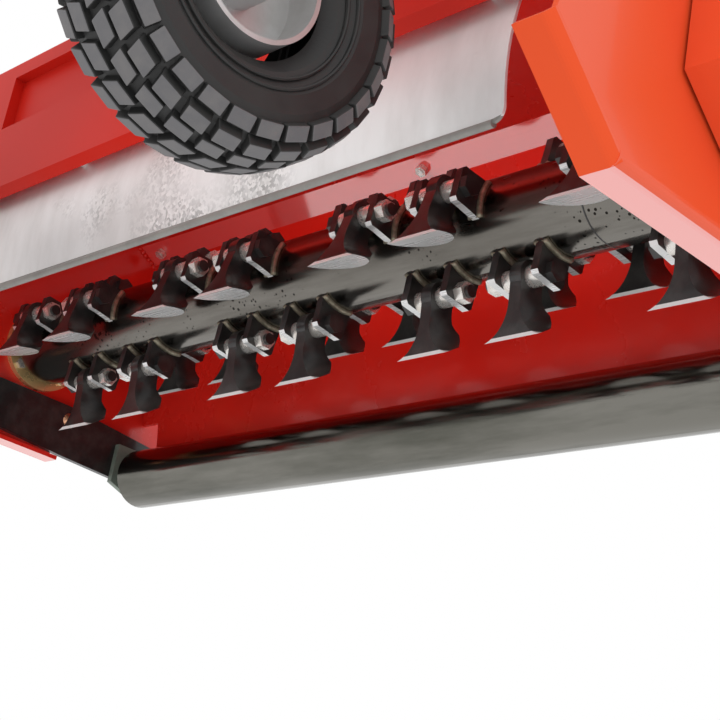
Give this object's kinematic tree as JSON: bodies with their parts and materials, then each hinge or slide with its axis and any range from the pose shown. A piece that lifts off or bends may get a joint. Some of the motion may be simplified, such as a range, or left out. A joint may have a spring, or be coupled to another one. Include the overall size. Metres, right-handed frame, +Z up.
{
  "type": "flail mower",
  "caption": "Towed flail mower with a red hood over a rotor of hinged hammer flails, a rear ground roller, front wheels, a drawbar and a belt-driving engine",
  "frame": {"origin": "centre of the bounding box at ground level", "axes": "+X along the rotor to the belt-drive end, -Y towards the drawbar and the direction of travel, +Z up"},
  "size_m": [1.185, 1.272, 0.6647],
  "materials": {
    "red_paint": "glossy powder coat",
    "galvanised": "galvanised with spangle",
    "zinc": "bright zinc plating",
    "yellow_zinc": "yellow zinc plating",
    "dark_steel": "dark oiled steel",
    "black_steel": "black semi-gloss",
    "grey_steel": "grey primer",
    "tyre": "black rubber",
    "rim_steel": "silver paint",
    "engine_metal": "cast",
    "black_plastic": "textured",
    "tank": "gloss",
    "muffler_steel": "heat-stained aluminised sheet",
    "belt_rubber": "matte"
  },
  "bodies": {
    "frame": {"hood_shell": "red_paint", "deck_frame": "red_paint", "side_plate_left": "red_paint", "side_plate_right": "red_paint", "front_panel": "red_paint", "front_guard": "galvanised", "zinc_fasteners": "zinc", "bearing_flanges": "yellow_zinc", "roller_arm_left": "black_steel", "roller_arm_right": "black_steel", "roller_plates": "grey_steel", "engine_block": "engine_metal", "engine_cowl": "black_plastic", "fuel_tank": "tank", "muffler": "muffler_steel", "drive_belt": "belt_rubber", "belt_cover": "red_paint"},
    "rotor": {"rotor_tube": "dark_steel", "rotor_ears": "black_steel", "flail_sleeves": "zinc", "flail_bolts": "black_steel", "flail_nuts": "zinc", "rotor_pulley": "grey_steel"},
    "roller": {"roller": "dark_steel"},
    "leg_left": {"leg_left": "red_paint"},
    "leg_right": {"leg_right": "red_paint"},
    "wheel_left": {"tyre_left": "tyre", "rim_left": "rim_steel"},
    "wheel_right": {"tyre_right": "tyre", "rim_right": "rim_steel"},
    "drawbar": {"drawbar": "red_paint"},
    "engine_pulley": {"engine_pulley": "grey_steel"},
    "flail_a1": {"flail_a1": "black_steel"},
    "flail_a2": {"flail_a2": "black_steel"},
    "flail_a3": {"flail_a3": "black_steel"},
    "flail_a4": {"flail_a4": "black_steel"},
    "flail_a5": {"flail_a5": "black_steel"},
    "flail_a6": {"flail_a6": "black_steel"},
    "flail_a7": {"flail_a7": "black_steel"},
    "flail_a8": {"flail_a8": "black_steel"},
    "flail_b1": {"flail_b1": "black_steel"},
    "flail_b2": {"flail_b2": "black_steel"},
    "flail_b3": {"flail_b3": "black_steel"},
    "flail_b4": {"flail_b4": "black_steel"},
    "flail_b5": {"flail_b5": "black_steel"},
    "flail_b6": {"flail_b6": "black_steel"},
    "flail_b7": {"flail_b7": "black_steel"},
    "flail_c1": {"flail_c1": "black_steel"},
    "flail_c2": {"flail_c2": "black_steel"},
    "flail_c3": {"flail_c3": "black_steel"},
    "flail_c4": {"flail_c4": "black_steel"},
    "flail_c5": {"flail_c5": "black_steel"},
    "flail_c6": {"flail_c6": "black_steel"},
    "flail_d1": {"flail_d1": "black_steel"},
    "flail_d2": {"flail_d2": "black_steel"},
    "flail_d3": {"flail_d3": "black_steel"},
    "flail_d4": {"flail_d4": "black_steel"},
    "flail_d5": {"flail_d5": "black_steel"},
    "flail_d6": {"flail_d6": "black_steel"},
    "flail_d7": {"flail_d7": "black_steel"}
  },
  "joints": [
    {"name": "rotor_spin", "type": "hinge", "parent": "frame", "child": "rotor", "pos_m": [-0.0215, 0.408, 0.155], "axis": [1, 0, 0], "continuous": true},
    {"name": "engine_spin", "type": "hinge", "parent": "frame", "child": "engine_pulley", "pos_m": [-0.0215, 0.388, 0.493], "axis": [1, 0, 0], "continuous": true},
    {"name": "roller_spin", "type": "hinge", "parent": "frame", "child": "roller", "pos_m": [-0.0215, 0.571, 0.0365], "axis": [1, 0, 0], "continuous": true},
    {"name": "leg_left_slide", "type": "slide", "parent": "frame", "child": "leg_left", "axis": [0, 0, 1], "range_m": [-0.06, 0]},
    {"name": "leg_right_slide", "type": "slide", "parent": "frame", "child": "leg_right", "axis": [0, 0, 1], "range_m": [-0.06, 0]},
    {"name": "wheel_left_spin", "type": "hinge", "parent": "leg_left", "child": "wheel_left", "pos_m": [-0.3525, -0.001, 0.133], "axis": [1, 0, 0], "continuous": true},
    {"name": "wheel_right_spin", "type": "hinge", "parent": "leg_right", "child": "wheel_right", "pos_m": [0.3095, -0.001, 0.133], "axis": [1, 0, 0], "continuous": true},
    {"name": "drawbar_swing", "type": "hinge", "parent": "frame", "child": "drawbar", "pos_m": [-0.0215, -0.027, 0.412], "axis": [0, 0, 1], "range_deg": [-20, 20]},
    {"name": "flail_a1_swing", "type": "hinge", "parent": "rotor", "child": "flail_a1", "pos_m": [-0.48554, 0.34392, 0.1623], "axis": [1, 0, 0], "range_deg": [-184, 19]},
    {"name": "flail_a2_swing", "type": "hinge", "parent": "rotor", "child": "flail_a2", "pos_m": [-0.37755, 0.34392, 0.1623], "axis": [1, 0, 0], "range_deg": [-184, 19]},
    {"name": "flail_a3_swing", "type": "hinge", "parent": "rotor", "child": "flail_a3", "pos_m": [-0.20355, 0.34392, 0.1623], "axis": [1, 0, 0], "range_deg": [-184, 19]},
    {"name": "flail_a4_swing", "type": "hinge", "parent": "rotor", "child": "flail_a4", "pos_m": [-0.09556, 0.34392, 0.1623], "axis": [1, 0, 0], "range_deg": [-184, 19]},
    {"name": "flail_a5_swing", "type": "hinge", "parent": "rotor", "child": "flail_a5", "pos_m": [0.07844, 0.34392, 0.1623], "axis": [1, 0, 0], "range_deg": [-184, 19]},
    {"name": "flail_a6_swing", "type": "hinge", "parent": "rotor", "child": "flail_a6", "pos_m": [0.18643, 0.34392, 0.1623], "axis": [1, 0, 0], "range_deg": [-184, 19]},
    {"name": "flail_a7_swing", "type": "hinge", "parent": "rotor", "child": "flail_a7", "pos_m": [0.36043, 0.34392, 0.1623], "axis": [1, 0, 0], "range_deg": [-184, 19]},
    {"name": "flail_a8_swing", "type": "hinge", "parent": "rotor", "child": "flail_a8", "pos_m": [0.46842, 0.34392, 0.1623], "axis": [1, 0, 0], "range_deg": [-184, 19]},
    {"name": "flail_b1_swing", "type": "hinge", "parent": "rotor", "child": "flail_b1", "pos_m": [-0.42252, 0.4007, 0.09091], "axis": [1, 0, 0], "range_deg": [-100, 80]},
    {"name": "flail_b2_swing", "type": "hinge", "parent": "rotor", "child": "flail_b2", "pos_m": [-0.31454, 0.4007, 0.09091], "axis": [1, 0, 0], "range_deg": [-100, 80]},
    {"name": "flail_b3_swing", "type": "hinge", "parent": "rotor", "child": "flail_b3", "pos_m": [-0.14053, 0.4007, 0.09091], "axis": [1, 0, 0], "range_deg": [-100, 80]},
    {"name": "flail_b4_swing", "type": "hinge", "parent": "rotor", "child": "flail_b4", "pos_m": [-0.03255, 0.4007, 0.09091], "axis": [1, 0, 0], "range_deg": [-100, 80]},
    {"name": "flail_b5_swing", "type": "hinge", "parent": "rotor", "child": "flail_b5", "pos_m": [0.14145, 0.4007, 0.09091], "axis": [1, 0, 0], "range_deg": [-100, 80]},
    {"name": "flail_b6_swing", "type": "hinge", "parent": "rotor", "child": "flail_b6", "pos_m": [0.24944, 0.4007, 0.09091], "axis": [1, 0, 0], "range_deg": [-100, 80]},
    {"name": "flail_b7_swing", "type": "hinge", "parent": "rotor", "child": "flail_b7", "pos_m": [0.42344, 0.4007, 0.09091], "axis": [1, 0, 0], "range_deg": [-100, 80]},
    {"name": "flail_c1_swing", "type": "hinge", "parent": "rotor", "child": "flail_c1", "pos_m": [-0.35051, 0.47208, 0.1477], "axis": [1, 0, 0], "range_deg": [-18, 155]},
    {"name": "flail_c2_swing", "type": "hinge", "parent": "rotor", "child": "flail_c2", "pos_m": [-0.24252, 0.47208, 0.1477], "axis": [1, 0, 0], "range_deg": [-18, 155]},
    {"name": "flail_c3_swing", "type": "hinge", "parent": "rotor", "child": "flail_c3", "pos_m": [-0.06852, 0.47208, 0.1477], "axis": [1, 0, 0], "range_deg": [-18, 155]},
    {"name": "flail_c4_swing", "type": "hinge", "parent": "rotor", "child": "flail_c4", "pos_m": [0.03946, 0.47208, 0.1477], "axis": [1, 0, 0], "range_deg": [-18, 155]},
    {"name": "flail_c5_swing", "type": "hinge", "parent": "rotor", "child": "flail_c5", "pos_m": [0.21346, 0.47208, 0.1477], "axis": [1, 0, 0], "range_deg": [-18, 155]},
    {"name": "flail_c6_swing", "type": "hinge", "parent": "rotor", "child": "flail_c6", "pos_m": [0.32145, 0.47208, 0.1477], "axis": [1, 0, 0], "range_deg": [-18, 155]},
    {"name": "flail_d1_swing", "type": "hinge", "parent": "rotor", "child": "flail_d1", "pos_m": [-0.4575, 0.4153, 0.21909], "axis": [1, 0, 0], "range_deg": [0, 204]},
    {"name": "flail_d2_swing", "type": "hinge", "parent": "rotor", "child": "flail_d2", "pos_m": [-0.2835, 0.4153, 0.21909], "axis": [1, 0, 0], "range_deg": [0, 204]},
    {"name": "flail_d3_swing", "type": "hinge", "parent": "rotor", "child": "flail_d3", "pos_m": [-0.17551, 0.4153, 0.21909], "axis": [1, 0, 0], "range_deg": [0, 204]},
    {"name": "flail_d4_swing", "type": "hinge", "parent": "rotor", "child": "flail_d4", "pos_m": [-0.00151, 0.4153, 0.21909], "axis": [1, 0, 0], "range_deg": [0, 204]},
    {"name": "flail_d5_swing", "type": "hinge", "parent": "rotor", "child": "flail_d5", "pos_m": [0.10648, 0.4153, 0.21909], "axis": [1, 0, 0], "range_deg": [0, 204]},
    {"name": "flail_d6_swing", "type": "hinge", "parent": "rotor", "child": "flail_d6", "pos_m": [0.28048, 0.4153, 0.21909], "axis": [1, 0, 0], "range_deg": [0, 204]},
    {"name": "flail_d7_swing", "type": "hinge", "parent": "rotor", "child": "flail_d7", "pos_m": [0.38846, 0.4153, 0.21909], "axis": [1, 0, 0], "range_deg": [0, 204]}
  ],
  "couplings": [
    {"joint": "engine_spin", "follows": "rotor_spin", "ratio": 1.3778}
  ]
}
